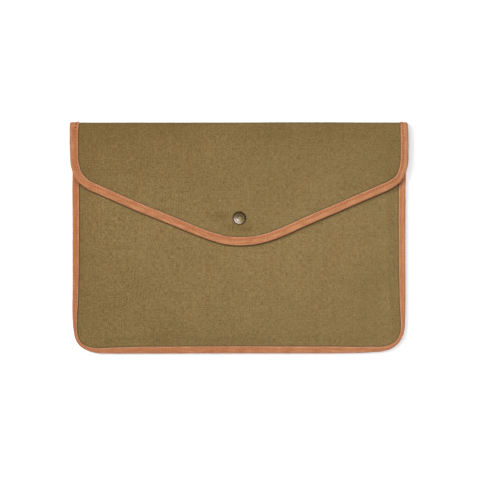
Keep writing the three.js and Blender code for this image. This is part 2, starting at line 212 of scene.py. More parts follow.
class FinishLook(bpy.types.PropertyGroup):
    """Colours of the materials and the scale of the weave."""

    canvas_dark: colour("Canvas, dark yarn", "Colour of the darker yarns", (0.118, 0.0727, 0.022))
    canvas_light: colour("Canvas, light yarn", "Colour of the lighter yarns", (0.272, 0.187, 0.078))
    # Painted shade beside the leather and in a ring round the cap.
    canvas_seam: colour("Canvas, in the seams", "Colour beside the leather", (0.09, 0.06, 0.026))
    # Painted shadow under the flap's edge.
    canvas_line: colour("Canvas, under the flap's edge", "Colour of the rubbed line", (0.05, 0.033, 0.014))
    leather: colour("Leather", "Colour of its paler streaks", (0.448, 0.197, 0.085))
    leather_deep: colour("Leather, deep", "Colour of its darker streaks", (0.285, 0.1, 0.033))
    leather_edge: colour("Leather, cut edge", "Colour of the raw edges", (0.52, 0.27, 0.17))
    leather_stain: colour("Leather, stained", "Colour of the fold and stitch line", (0.34, 0.098, 0.032))
    # Also the colour of the painted shadow on the pocket's leather under the flap.
    leather_hole: colour("Leather, holes", "Colour inside the needle holes", (0.12, 0.032, 0.012))
    thread: colour("Thread", "Colour of the thread", (0.41, 0.165, 0.072))
    brass: colour("Brass", "Colour of the rubbed top of the cap", (0.5, 0.37, 0.18))
    # Paler metal at the cap's lower left: a painted highlight.
    brass_pale: colour("Brass, pale", "Colour of the plated metal round it", (0.54, 0.48, 0.42))
    brass_patina: colour("Brass, patina", "Colour of the darkened metal", (0.085, 0.052, 0.022))
    weave_pitch: length("Weave pitch", "From one yarn to the next", 0.85 * MM)


class StageSetup(bpy.types.PropertyGroup):
    """Floor, lights and camera."""

    floor: colour("Floor", "Colour of the floor", (0.92, 0.92, 0.92))
    floor_size: length("Floor size", "Width of the floor", 12.0)
    ambient: share("Ambient", "Strength of the light from all round", 0.24)
    ambient_colour: colour("Ambient colour", "Colour of the light from all round", (0.95, 0.99, 1.0))
    overhead: share("Overhead", "Power of the softbox above, in watts", 64.0)
    key: share("Key", "Power of the softbox at the upper left, in watts", 36.0)
    low_card: share("Low card", "Power of the mirrored card at the lower left, in watts", 46.0)
    side_card: share("Side card", "Power of the mirrored card at the lower right, in watts", 1.5)
    high_card: share("High card", "Power of the mirrored card above, in watts", 14.0)
    camera_height: length("Camera height", "Height of the camera above the floor", 2.4)
    camera_x: length("Camera across", "Camera's place across the sleeve", -0.46 * MM)
    camera_y: length("Camera up", "Camera's place along the sleeve", -1.4 * MM)
    view_width: length("View width", "Width of the picture at the sleeve", 551.6 * MM)


SCENE_GROUPS = {
    "sleeve_form": SleeveForm,
    "sleeve_binding": BindingForm,
    "sleeve_snap": SnapForm,
    "sleeve_finish": FinishLook,
    "sleeve_stage": StageSetup,
}


def sleeve_lines(scene):
    """The sizes of all the pieces, with the heights and lines that follow from them."""
    s = SimpleNamespace()
    for group in ("sleeve_form", "sleeve_binding", "sleeve_snap"):
        for name in SCENE_GROUPS[group].__annotations__:
            setattr(s, name, getattr(getattr(scene, group), name))
    s.top = s.height / 2
    s.bottom = -s.height / 2
    s.inset = s.leather + s.gap
    s.back_seam = s.leather + s.gap
    s.front_seam = s.back_seam + s.canvas + s.seam_padding
    s.pocket_stack = 2 * s.canvas + s.seam_padding
    s.flap_seat = s.front_seam + s.canvas + 2 * (s.leather + s.gap) + s.flap_clearance
    s.fold_radius = (s.flap_seat + s.canvas - s.back_seam) / 2
    s.fold_z = s.back_seam + s.fold_radius
    s.fold_y = s.top - s.inset - s.fold_radius
    s.fold_length = math.pi * s.fold_radius
    s.mouth = s.top - s.mouth_below_top
    s.joint = s.top - s.joint_below_top
    s.flap_half = s.flap_width / 2
    s.pocket_half = s.pocket_width / 2
    s.flat_half = s.pocket_half - s.pocket_corner
    s.tip_y = s.top - s.flap_drop
    s.point_y = s.tip_y - s.flap_tip * (1 / math.cos(s.flap_fall) - 1)
    s.flap_turn = math.pi / 2 - s.flap_fall
    s.corner_x = s.flap_half - s.flap_corner
    rise = s.flap_half * math.tan(s.flap_fall)
    s.corner_y = s.point_y + rise + s.flap_corner * math.tan(s.flap_turn / 2)
    return s


# Surfaces of the sleeve

def ease(t):
    """Smoothstep: 3t² - 2t³, with t held between 0 and 1."""
    t = np.clip(t, 0, 1)
    return t * t * (3 - 2 * t)


def bell(t, middle, reach):
    """Bell curve: 1 in its middle, falling to about 0.6 at its reach."""
    return np.exp(-0.5 * ((t - middle) / reach) ** 2)


def half_width(s, y):
    """Half the pocket's width at a height: even below, easing to the flap's half width at the fold."""
    return s.pocket_half + (s.flap_half - s.pocket_half) * ease(
        (y - s.widens_from) / (s.fold_y - s.widens_from)
    )


def from_pocket_edge(s, x, y):
    """How far points lie inside the pocket's outline, and how far round that their nearest edge is:
    a straight bottom, quarter circles at the corners and sides that widen towards the fold."""
    across = np.abs(x) - s.flat_half
    down = s.bottom + s.pocket_corner - y
    corner = (across > 0) & (down > 0)
    below = ~corner & (down > across)
    inside = np.where(below, y - s.bottom, half_width(s, y) - np.abs(x))
    inside = np.where(corner, s.pocket_corner - np.hypot(across, down), inside)
    quarter = s.pocket_corner * math.pi / 2
    around = np.where(below, np.minimum(np.abs(x), s.flat_half), s.flat_half + quarter - down)
    turned = s.flat_half + s.pocket_corner * np.arctan2(across, down)
    return inside, np.where(corner, turned, around)


def from_flap_edge(s, x, y):
    """How far points lie inside the flap's outline: the nearer of its side and its sloping edge, or
    the distance from the arc of the corner or of the tip where that arc is nearest."""
    x = np.abs(x)
    side = s.flap_half - x
    slope = (y - s.point_y - x * math.tan(s.flap_fall)) * math.cos(s.flap_fall)
    inside = np.minimum(side, slope)
    across, down = x - s.corner_x, s.corner_y - y
    turn = np.arctan2(down, across)
    corner = (turn > 0) & (turn < s.flap_turn)
    inside = np.where(corner, s.flap_corner - np.hypot(across, down), inside)
    below = s.tip_y + s.flap_tip - y
    tip = np.abs(np.arctan2(x, below)) < s.flap_fall
    return np.where(tip, s.flap_tip - np.hypot(x, below), inside)


def front_cover(round_edge):
    """Width of leather on the pocket's front, read from its short table."""
    return np.interp(round_edge, FRONT_COVER_ROUND, FRONT_COVER_WIDTH)


def flap_cover(x):
    """Width of leather on the flap, read from its short tables for the left and the right."""
    left = np.interp(-x, FLAP_COVER_ACROSS, FLAP_COVER_LEFT)
    right = np.interp(x, FLAP_COVER_ACROSS, FLAP_COVER_RIGHT)
    return np.where(x < 0, left, right)


def pulled(points):
    """Points shifted sideways by the pulls of the sewing: each fades as a bell curve round its place."""
    shifted = points.copy()
    for row in PULLS:
        pull = SimpleNamespace(**dict(zip(PULL_COLUMNS, row)))
        near = bell(np.hypot(points[..., 0] - pull.x, points[..., 1] - pull.y), 0, pull.reach)
        shifted[..., 0] += pull.shift_x * near
        shifted[..., 1] += pull.shift_y * near
    return shifted


def creased(x, y):
    """Strength of the creases round the snap at points of the flap: each is a bell curve across times
    a bell curve up."""
    total = np.zeros(np.broadcast(x, y).shape)
    for row in CREASES:
        crease = SimpleNamespace(**dict(zip(CREASE_COLUMNS, row)))
        total += crease.strength * bell(x, crease.x, crease.reach_x) * bell(y, crease.y, crease.reach_y)
    return np.minimum(total, 1)


def swells(x, y, lengths, seed):
    """Gentle swells between -1 and 1: the mean of plane waves of some lengths in random directions."""
    draw = np.random.default_rng(seed)
    total = np.zeros(np.broadcast(x, y).shape)
    for wave in lengths:
        turn, phase = draw.uniform(0, 2 * math.pi, 2)
        total += np.sin(2 * math.pi * (x * math.cos(turn) + y * math.sin(turn)) / wave + phase)
    return total / len(lengths)


def gathers(s, along, beyond, seed):
    """Dips beside a seam: a wave of wandering length along it that fades within some 10 mm."""
    draw = np.random.default_rng(seed)
    phases = draw.uniform(0, 2 * math.pi, 2)
    wander = 1.6 * np.sin(2 * math.pi * along / (71 * MM) + phases[0])
    wave = 0.5 + 0.5 * np.sin(2 * math.pi * along / (17 * MM) + wander + phases[1])
    fade = ease(beyond / (3 * MM)) * np.exp(-np.maximum(beyond, 0) / (8 * MM))
    return -s.pucker * wave * fade


def fullness(s, x, y):
    """Fullness of the pocket: a parabola in a smooth distance from the sides and the bottom, with
    part of it lost towards the fold."""
    across = np.maximum(half_width(s, y) - np.abs(x), 0)
    up = y - s.bottom
    reach = across + up - np.hypot(across, up)
    rise = 1 - (1 - np.minimum(reach / s.crown_reach, 1)) ** 2
    lost = s.mouth_drop * ease((y - s.fold_y + s.mouth_drop_length) / s.mouth_drop_length)
    return s.crown * rise * (1 - lost)


def front_rise(s, x, y):
    """Rise of the front panel above its seam: the fullness, eased in from where the leather ends,
    with gentle swells and with gathers beside the leather."""
    inside, round_edge = from_pocket_edge(s, x, y)
    beyond = inside - front_cover(round_edge) - s.gap
    crown = fullness(s, x, y) * ease(beyond / s.crown_start)
    calm = ease(beyond / (30 * MM))
    swell = s.swell * calm * swells(x, y, FRONT_SWELLS, seed=11)
    along = np.where(x < 0, -round_edge, round_edge)
    return crown + swell + gathers(s, along, beyond, seed=12)


def back_lift(s, x, y):
    """Height of the back's lower face: on the ground, lifted at the bindings and at the fold."""
    inside, _ = from_pocket_edge(s, x, y)
    at_seam = 1 - ease((inside - s.margin) / s.lift_length)
    at_fold = 1 - ease((s.fold_y - y) / s.lift_length)
    return s.back_seam * np.maximum(at_seam, at_fold)


def flap_face(s, x, y):
    """Height of the flap's upper face: from the fold it rolls up to ride on the full pocket, with
    gentle swells, gathers beside the leather, a slight rise to meet the snap's cap, small folds that
    run out from the cap as rays and shallow creases beside it."""
    on_pocket = s.front_seam + s.canvas + fullness(s, x, y) + s.flap_ride
    over = (s.flap_seat + on_pocket + np.hypot(s.flap_seat - on_pocket, s.ride_softness)) / 2
    face = s.flap_seat + (over - s.flap_seat) * ease((s.fold_y - y) / s.flap_roll)
    beyond = from_flap_edge(s, x, y) - flap_cover(x) - s.gap
    from_snap = np.hypot(x, y - s.snap_y)
    from_cap = from_snap - s.cap_radius
    calm = ease(beyond / (20 * MM)) * ease((s.fold_y - y) / (30 * MM)) * ease(from_cap / (20 * MM))
    swell = s.swell * calm * swells(x, y, FLAP_SWELLS, seed=21)
    along = np.abs(x) * math.cos(s.flap_fall) + y * math.sin(s.flap_fall)
    gather = gathers(s, along * np.where(x < 0, -1, 1), beyond, seed=22)
    seat = s.gap * (1 - ease(from_cap / (6 * MM)))
    turn = np.arctan2(y - s.snap_y, x)
    rays = 0.5 + 0.5 * np.sin(5 * turn + 0.7 * np.sin(3 * turn))
    drawn = -s.snap_draw * rays * ease(from_cap / (4 * MM)) * np.exp(-from_snap / (12 * MM))
    return s.canvas + face + swell + gather + seat + drawn - s.crease * creased(x, y)


def back_point(s, x, y, out):
    """Points a distance out from the back's lower face, in rows of x, y and z."""
    return np.stack([x, y, back_lift(s, x, y) - out], axis=-1)


def folded_point(s, x, run, out):
    """Points a distance out from the outer face of the folded canvas. The run is measured along the
    canvas from the fold's front line: positive down the flap, negative round half a circle and then
    down the back. The fold bows out a little between the bindings."""
    from_side = s.flap_half - np.abs(x)
    bow = s.fold_bow * ease((from_side - s.fold_bow_from) / s.fold_bow_rise)
    on_back = -run - s.fold_length
    y_flap = s.fold_y - run + bow * (1 - ease(run / s.fold_bow_length))
    y_back = s.fold_y - on_back + bow * (1 - ease(on_back / s.fold_bow_length))
    angle = math.pi + run / s.fold_radius
    r = s.fold_radius + out
    y = np.where(run > 0, y_flap, np.where(on_back > 0, y_back, s.fold_y + bow + r * np.sin(angle)))
    z_back = back_lift(s, x, y_back) - out
    z = np.where(run > 0, flap_face(s, x, y_flap) + out, s.fold_z - r * np.cos(angle))
    return np.stack(np.broadcast_arrays(x, y, np.where(on_back > 0, z_back, z)), axis=-1)


# Meshes

def finish_mesh(name, points, faces, uv=None, values=None, sharp=math.radians(50)):
    """A smooth-shaded object at the origin, with a UV map and point attributes where they are given."""
    mesh = bpy.data.meshes.new(name)
    mesh.from_pydata(points.reshape(-1, 3).tolist(), [], faces)
    mesh.update()
    mesh.shade_smooth()
    mesh.set_sharp_from_angle(angle=sharp)
    if uv is not None:
        corner = np.empty(len(mesh.loops), np.int32)
        mesh.loops.foreach_get("vertex_index", corner)
        layer = mesh.uv_layers.new(name="cut")
        layer.data.foreach_set("uv", uv.reshape(-1, 2)[corner].astype(np.float32).ravel())
    for key, value in (values or {}).items():
        layer = mesh.attributes.new(key, "FLOAT", "POINT")
        layer.data.foreach_set("value", value.astype(np.float32).ravel())
    piece = bpy.data.objects.new(name, mesh)
    bpy.context.scene.collection.objects.link(piece)
    return piece


def sheet_faces(outer, inner):
    """Quads of a closed sheet between two grids of points, with a rim all round, facing outwards."""
    rows, columns = outer.shape[:2]
    top = np.arange(rows * columns).reshape(rows, columns)
    low = top + rows * columns
    quads = [
        np.stack([top[:-1, :-1], top[:-1, 1:], top[1:, 1:], top[1:, :-1]], axis=-1),
        np.stack([low[:-1, :-1], low[1:, :-1], low[1:, 1:], low[:-1, 1:]], axis=-1),
        np.stack([top[:-1, 0], top[1:, 0], low[1:, 0], low[:-1, 0]], axis=-1),
        np.stack([top[:-1, -1], low[:-1, -1], low[1:, -1], top[1:, -1]], axis=-1),
        np.stack([top[0, :-1], low[0, :-1], low[0, 1:], top[0, 1:]], axis=-1),
        np.stack([top[-1, :-1], top[-1, 1:], low[-1, 1:], low[-1, :-1]], axis=-1),
    ]
    quads = np.concatenate([q.reshape(-1, 4) for q in quads])
    points = np.concatenate([outer.reshape(-1, 3), inner.reshape(-1, 3)])
    a, b, c, d = (points[quads[:, i]] for i in range(4))
    volume = np.einsum("ij,ij->", a, np.cross(b, c)) + np.einsum("ij,ij->", a, np.cross(c, d))
    return points, quads if volume > 0 else quads[:, ::-1]


def sheet_piece(name, outer, inner, uv, values):
    """A sheet of cloth or leather: both faces share the UV map, and each has its own values."""
    points, quads = sheet_faces(pulled(outer), pulled(inner))
    both = {key: np.concatenate([v.ravel() for v in faces]) for key, faces in values.items()}
    return finish_mesh(name, points, quads.tolist(), np.concatenate([uv, uv]), both)


def ring_faces(rings, steps):
    """Quads between rings of points, and triangles from the end rings to two poles that come last."""
    index = np.arange(rings * steps).reshape(rings, steps)
    after = np.roll(index, -1, axis=1)
    quads = np.stack([index[:-1], after[:-1], after[1:], index[1:]], axis=-1).reshape(-1, 4)
    first, last = np.full(steps, index.size), np.full(steps, index.size + 1)
    starts = np.stack([after[0], index[0], first], axis=-1)
    ends = np.stack([index[-1], after[-1], last], axis=-1)
    return quads, np.concatenate([starts, ends])


def turned_piece(name, profile, steps, x, y, z):
    """A turned body: the profile of radius and height, from the axis to the axis, carried round it."""
    angle = np.linspace(0, 2 * math.pi, steps, endpoint=False)
    radius, height = profile[1:-1].T
    ring = np.stack(
        [
            x + radius[:, None] * np.cos(angle),
            y + radius[:, None] * np.sin(angle),
            z + np.broadcast_to(height[:, None], (len(height), steps)),
        ],
        axis=-1,
    )
    poles = np.array([[x, y, z + profile[0, 1]], [x, y, z + profile[-1, 1]]])
    quads, caps = ring_faces(len(ring), steps)
    points = np.concatenate([ring.reshape(-1, 3), poles])
    return finish_mesh(name, points, quads.tolist() + caps.tolist(), sharp=math.radians(70))


def dressed(piece, material, slot, *nodes):
    """Gives a piece its material, lets it ride on the sleeve and hides the nodes that it stands for."""
    piece.data.materials.append(material)
    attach(piece, "root")
    if nodes:
        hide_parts(*nodes)
    return piece


# Outlines

def flap_edge(s, corner_steps=16, slope_steps=46, tip_steps=14):
    """Right half of the flap's lower outline: an arc at the corner, a straight slope and an arc at the
    tip, as rows of x, y and the inward direction."""
    a = np.linspace(0, s.flap_turn, corner_steps + 1)
    corner_x = s.corner_x + s.flap_corner * np.cos(a)
    corner = np.stack([corner_x, s.corner_y - s.flap_corner * np.sin(a), -np.cos(a), np.sin(a)])
    b = np.linspace(s.flap_fall, 0, tip_steps + 1)
    tip_y = s.tip_y + s.flap_tip * (1 - np.cos(b))
    tip = np.stack([s.flap_tip * np.sin(b), tip_y, -np.sin(b), np.cos(b)])
    t = np.linspace(0, 1, slope_steps + 1)[1:-1]
    slope = corner[:, -1:] + (tip[:, :1] - corner[:, -1:]) * t
    return np.concatenate([corner, slope, tip], axis=1)


def pocket_corner(s, steps=14):
    """Right corner of the pocket's outline: a quarter circle from the bottom up to the side, as rows
    of x, y and the inward direction."""
    a = np.linspace(0, math.pi / 2, steps + 1)
    x = s.flat_half + s.pocket_corner * np.sin(a)
    y = s.bottom + s.pocket_corner * (1 - np.cos(a))
    return np.stack([x, y, -np.sin(a), np.cos(a)])


def whole_path(right):
    """A path with its mirror image in front of it, from the left end to the right end."""
    left = right[:, :0:-1] * np.array([-1, 1, -1, 1])[:, None]
    return np.concatenate([left, right], axis=1)


def flap_path(s):
    """Outline of the flap's strip laid flat, as rows of x, run and the inward direction: from the tip
    along the lower edge, up the side, over the fold and down the back to the joint."""
    x, y, in_x, in_y = flap_edge(s)[:, ::-1]
    lower = np.stack([x, s.fold_y - y, in_x, -in_y])
    end = -s.fold_length - (s.fold_y - s.joint - s.gap)
    run = np.arange(lower[1, -1] - MM, end, -MM)
    run = np.append(run, end)
    back_y = s.fold_y + run + s.fold_length
    side_x = np.where(run < -s.fold_length, half_width(s, back_y), s.flap_half)
    side = np.stack([side_x, run, -np.ones_like(run), np.zeros_like(run)])
    return whole_path(np.concatenate([lower, side], axis=1))


def pocket_path(s):
    """Outline of the pocket's strip, as rows of x, y and the inward direction: from the bottom middle
    round the corner and up the side to the joint."""
    across = np.arange(0, s.flat_half, 2 * MM)
    bottom = np.stack([across, np.full_like(across, s.bottom), 0 * across, 0 * across + 1])
    corner = pocket_corner(s)
    up = np.append(np.arange(corner[1, -1] + MM, s.joint, MM), s.joint)
    side = np.stack([half_width(s, up), up, 0 * up - 1, 0 * up])
    return whole_path(np.concatenate([bottom, corner, side], axis=1))


def paced(path, places):
    """A path read at some shares of its length, with its length."""
    steps = np.hypot(np.diff(path[0]), np.diff(path[1]))
    run = np.concatenate([[0], np.cumsum(steps)])
    return np.stack([np.interp(places * run[-1], run, row) for row in path]), run[-1]


class Strip:
    """A leather strip folded round an edge: its path, the stack that it holds, how wide its two legs
    are along the path, how a point is placed from the path's plane, how plainly its needle holes show
    and whether part of it lies under the flap."""

    def __init__(self, s, path, stack, covers, place, sewn, under_flap):
        self.s, self.path, self.stack, self.covers, self.place = s, path, stack, covers, place
        self.sewn, self.under_flap = sewn, under_flap
        self.stitches = round(paced(path, np.zeros(1))[1] / s.stitch_pitch)

    def at(self, places):
        """Path, widths of the legs, how far the outer leg is pressed on the ground and distance along,
        at some shares of the length."""
        path, whole = paced(self.path, places)
        return path, *self.covers(*path[:2]), places * whole

    def narrowed(self, cover):
        """Share of the usual distances from the cut edge that a leg has room for: less than 1 only
        where the leather is narrow."""
        return np.minimum(1, (cover - self.s.edge_radius) / (self.s.stitch_inset + 0.75 * MM))

    def point(self, path, inwards, out):
        """Places points that lie inwards from the path and out from the canvas."""
        x, y, in_x, in_y = (row[:, None] for row in path)
        return self.place(self.s, x + in_x * inwards, y + in_y * inwards, out)


def flap_strip(s):
    """The flap's strip, round one layer of canvas."""
    def covers(x, run):
        """Widths of the outer and inner legs, and how far the outer leg is pressed on the ground."""
        pressed = ease((-run - s.fold_length) / (3 * MM))
        return flap_cover(x), np.full_like(x, s.under_flap_cover), pressed

    def sewn(x, run):
        """How plainly the needle holes show: near both sides, most of all at the left corner."""
        left = 0.35 + 0.65 * bell(run, 4 * MM, 9 * MM) + 1.4 * bell(run, 51 * MM, 9 * MM)
        right = 0.4 + 0.8 * bell(run, 35 * MM, 10 * MM)
        return 0.12 + left * ease((-x - 115 * MM) / (50 * MM)) + right * ease((x - 155 * MM) / (25 * MM))
    return Strip(s, flap_path(s), s.canvas, covers, folded_point, sewn, False)


def pocket_strip(s):
    """The pocket's strip, round both panels and the padding between them."""
    def covers(x, y):
        """Widths of the outer and inner legs, with the outer leg pressed on the ground."""
        return np.full_like(x, s.back_cover), front_cover(from_pocket_edge(s, x, y)[1]), np.ones_like(x)

    def sewn(x, y):
        """How plainly the needle holes show: hardly, and a little more along the left side."""
        left = 0.1 + 0.35 * bell(y, -58 * MM, 12 * MM)
        return 0.03 + left * ease((-x - 165 * MM) / (20 * MM))
    return Strip(s, pocket_path(s), s.pocket_stack, covers, back_point, sewn, True)


# Pieces

def leather_strip(strip, name, material, nodes):
    """A strip as a closed sheet. Across it, from one cut edge to the other: a leg, a quarter round, the
    edge's flat, a quarter round and the other leg. On both legs a line of stitches draws a groove
    down, deeper at each needle hole, and the leather swells between the groove and the fold."""
    s = strip.s
    places = np.linspace(0, 1, 4 * strip.stitches + 1)
    path, outer_cover, inner_cover, pressed, along = strip.at(places)
    count = places * strip.stitches
    covers = (outer_cover, inner_cover)
    bevel = 0.22 * MM
    sewing = s.stitch_inset
    near = np.array([0, bevel, 1.2 * MM, sewing - 0.5 * MM, sewing, sewing + 0.35 * MM])
    rest = np.array([0.35, 0.7, 1])
    r = s.edge_radius
    bend = np.radians([22.5, 45, 67.5])
    level = s.gap + s.leather
    low = -strip.stack - level

    def leg(cover):
        """Distances of a leg's columns from its cut edge, as if it were of full width."""
        beyond = ((cover - r) / strip.narrowed(cover))[:, None]
        fixed = np.broadcast_to(near, (len(cover), len(near)))
        return np.concatenate([fixed, near[-1] + (beyond - near[-1]) * rest], axis=1)

    def relief(from_edge, pressed):
        """Rise of a leg's outer face: the swelling less the groove, the holes and the bevelled edge."""
        line = np.exp(-(((from_edge - sewing) / (0.6 * MM)) ** 2))
        hole_along = (count + 0.5) % 1 - 0.5
        hole = np.exp(-((hole_along * s.stitch_pitch / (0.4 * MM)) ** 2))[:, None]
        fold_side = (from_edge - near[-1]) / np.maximum(from_edge[:, -1:] - near[-1], MM)
        pillow = np.sin(math.pi * np.clip(fold_side, 0, 1)) * (1 - pressed[:, None])
        chamfer = np.where(from_edge < bevel / 2, 0.35 * MM, 0)
        return s.pillow * pillow - s.groove * line - s.needle_hole * line * hole - chamfer

    legs = [leg(cover) for cover in covers]
    widths = [columns * strip.narrowed(cover)[:, None] for columns, cover in zip(legs, covers)]
    ones = np.ones((len(places), 1))

    def chain(depth, shaped):
        """Distances inwards and out of all the columns, at a depth in the leather."""
        bend_r = r - depth
        rise = [relief(d, p) if shaped else 0 * d for d, p in zip(legs, (pressed, 0 * pressed))]
        first = (outer_cover[:, None] - widths[0], level - depth + rise[0])
        quarter_one = (depth + bend_r * (1 - np.sin(bend)), level - depth - bend_r * (1 - np.cos(bend)))
        flat = (np.array([depth, depth]), np.array([level - depth - bend_r, low + depth + bend_r]))
        quarter_two = (quarter_one[0][::-1], (low + depth + bend_r * (1 - np.cos(bend)))[::-1])
        last = ((inner_cover[:, None] - widths[1])[:, ::-1], (low + depth - rise[1])[:, ::-1])
        middle = [(ones * a, ones * b) for a, b in (quarter_one, flat, quarter_two)]
        inwards, out = (np.concatenate(rows, axis=1) for rows in zip(first, *middle, last))
        return inwards, out

    outer_in, outer_out = chain(0, True)
    inner_in, inner_out = chain(s.leather, False)
    outer = strip.point(path, outer_in, outer_out)
    inner = strip.point(path, inner_in, inner_out)
    row = np.ones(outer_in.shape[1])
    far = np.ones((len(places), len(row) - 2 * legs[0].shape[1]))
    from_edge = np.concatenate([legs[0], far, legs[1][:, ::-1]], axis=1)
    run = along[:, None] * row
    steps = np.hypot(np.diff(outer_in, axis=1), np.diff(outer_out, axis=1))
    across = np.concatenate([0 * ones, np.cumsum(steps, axis=1)], axis=1)
    uv = np.stack([run, across], axis=-1)
    # Distance below the flap's edge, for the painted shadow under it.
    past_flap = 1 + 0 * run
    if strip.under_flap:
        past_flap = np.where(outer_out < 0, -from_flap_edge(s, outer[..., 0], outer[..., 1]), past_flap)
        past_flap = np.where(past_flap < 0, 1, past_flap)
    stitch = count[:, None] * row
    sewn = strip.sewn(*path[:2])[:, None] * row
    shared = {"past_flap": past_flap, "stitch": stitch, "sewn": sewn, "from_edge": from_edge}
    values = {key: [value, value] for key, value in shared.items()}
    values["from_fold"] = [outer_in, inner_in]
    return dressed(sheet_piece(name, outer, inner, uv, values), material, "leather", *nodes)


def stitch_row(strip, name, material):
    """The stitches of a strip on both its faces: each is a grain of thread, a ring of points round an
    arched axis whose ends dip into the needle holes, set in the groove and turned a little."""
    s = strip.s
    draw = np.random.default_rng(strip.stitches)
    axis = np.array([-0.94, -0.5, 0.5, 0.94])
    turns = 6
    turn = np.linspace(0, 2 * math.pi, turns, endpoint=False)
    thick = s.thread / 2 * np.sqrt(1 - axis**4)
    sink = -0.9 * s.thread * axis**4
    grain = np.stack(
        [
            np.repeat(axis * s.stitch_length / 2, turns),
            np.outer(thick, np.cos(turn)).ravel(),
            (sink[:, None] + np.outer(thick, np.sin(turn))).ravel(),
        ],
        axis=-1,
    )
    tips = np.array([[-s.stitch_length / 2, 0, -s.thread], [s.stitch_length / 2, 0, -s.thread]])
    grain = np.concatenate([grain, tips])
    grain_faces = ring_faces(len(axis), turns)
    centre = (np.arange(strip.stitches) + 0.5) / strip.stitches
    step = 0.25 / strip.stitches
    level = s.gap + s.leather - s.groove + 0.3 * s.thread
    flush = s.gap + s.leather - 0.55 * s.thread
    points, faces = [], []
    for face, up in ((0, 1), (1, -1)):
        spots = []
        for shift in (-step, 0, step):
            path, *covers, pressed, _ = strip.at(centre + shift)
            cover = covers[face]
            inwards = (cover - s.stitch_inset * strip.narrowed(cover))[:, None]
            outer_level = level + (flush - level) * pressed[:, None]
            out = outer_level if face == 0 else -strip.stack - level + 0 * inwards
            spots.append((path, inwards, out))
        before, here, after = (strip.point(*spot)[:, 0] for spot in spots)
        path, inwards, out = spots[1]
        above = strip.point(path, inwards, out + up * MM)[:, 0]
        ahead = (after - before) / np.linalg.norm(after - before, axis=1, keepdims=True)
        normal = (above - here) / np.linalg.norm(above - here, axis=1, keepdims=True)
        side = np.cross(normal, ahead)
        slant = draw.normal(0.1, 0.04, (len(here), 1))
        ahead, side = ahead + slant * side, side - slant * ahead
        size = draw.normal(1, 0.05, (len(here), 1, 1))
        axes = np.stack([ahead, side, normal], axis=1)
        first = sum(len(p) for p in points)
        points.append((here[:, None] + size * (grain @ axes)).reshape(-1, 3))
        each = first + np.arange(len(here))[:, None, None] * len(grain)
        for shape in grain_faces:
            faces += (shape + each).reshape(-1, shape.shape[1]).tolist()
    return dressed(finish_mesh(name, pulled(np.concatenate(points)), faces), material, "leather")


def folded_canvas(s, material):
    """The canvas of the back, the fold and the flap in one sheet: columns across, and rows from the
    bottom edge up the back, round the fold and down the flap to its lower edge. Its colour carries
    painted light and shade: lighter where the flap is full, more towards its tip and in the middle
    of the fold, and darker in its creases."""
    edge_x, edge_y, in_x, in_y = flap_edge(s)
    half_x, half_end = edge_x + in_x * s.inset, s.fold_y - (edge_y + in_y * s.inset)
    column = np.concatenate([half_x, -half_x[-2::-1]])
    column_end = np.concatenate([half_end, half_end[-2::-1]])
    corner = pocket_corner(s)
    corner_x, corner_y = corner[:2] + corner[2:] * s.inset
    up = np.arange(corner_y[-1] + ROW_PITCH, s.fold_y - MM, ROW_PITCH)
    back_y = np.concatenate([corner_y, up])
    back_half = np.concatenate([corner_x, half_width(s, up) - s.inset])
    fold_rows, roll_rows, flap_rows = 15, 8, 42
    fold = np.linspace(-s.fold_length, 0, fold_rows)
    roll = np.arange(1, roll_rows) * ROW_PITCH
    roll_end = roll_rows * ROW_PITCH
    flap_share = np.linspace(0, 1, flap_rows)[:, None]
    back_x = back_half[:, None] * (column / column[0])
    back_run = np.repeat(-s.fold_length - (s.fold_y - back_y)[:, None], len(column), axis=1)
    band_run = np.repeat(np.concatenate([fold, roll])[:, None], len(column), axis=1)
    flap_run = roll_end + (column_end - roll_end) * flap_share
    x = np.concatenate([back_x, np.broadcast_to(column, (len(band_run) + len(flap_run), len(column)))])
    run = np.concatenate([back_run, band_run, flap_run])
    outer = folded_point(s, x, run, np.zeros_like(x))
    inner = folded_point(s, x, run, np.full_like(x, -s.canvas))
    y = outer[..., 1]
    on_back = run < -s.fold_length
    in_pocket, _ = from_pocket_edge(s, x, y)
    inside = np.where(on_back, in_pocket, from_flap_edge(s, x, y))
    upper_cover = np.where(on_back, s.back_cover, flap_cover(x))
    seam = [inside - upper_cover, inside - s.under_flap_cover]
    # Painted light and shade: lighter where the flap is full, towards its tip and in the middle of the
    # fold, darker in its creases.
    by_fold = 0.6 * bell(x, -15 * MM, 45 * MM)
    down_flap = 0.2 + 0.25 * ease(run / (25 * MM)) + 0.35 * ease(run / (s.fold_y - s.tip_y))
    down_flap = np.maximum(down_flap, by_fold)
    full = fullness(s, x, np.minimum(y, s.fold_y)) / s.crown
    rub = np.where(on_back, 0.4, down_flap * (0.35 + 0.65 * full))
    rub = rub * np.where(run > 0, 1 - creased(x, y), 1)
    uv = np.stack([x, run], axis=-1)
    values = {"seam": seam, "rub": [rub, 0 * rub], "past_flap": [1 + 0 * rub, 1 + 0 * rub]}
    piece = sheet_piece("canvas_back_and_flap", outer, inner, uv, values)
    return dressed(piece, material, "canvas", "back_panel", "top_fold", "flap_panel")


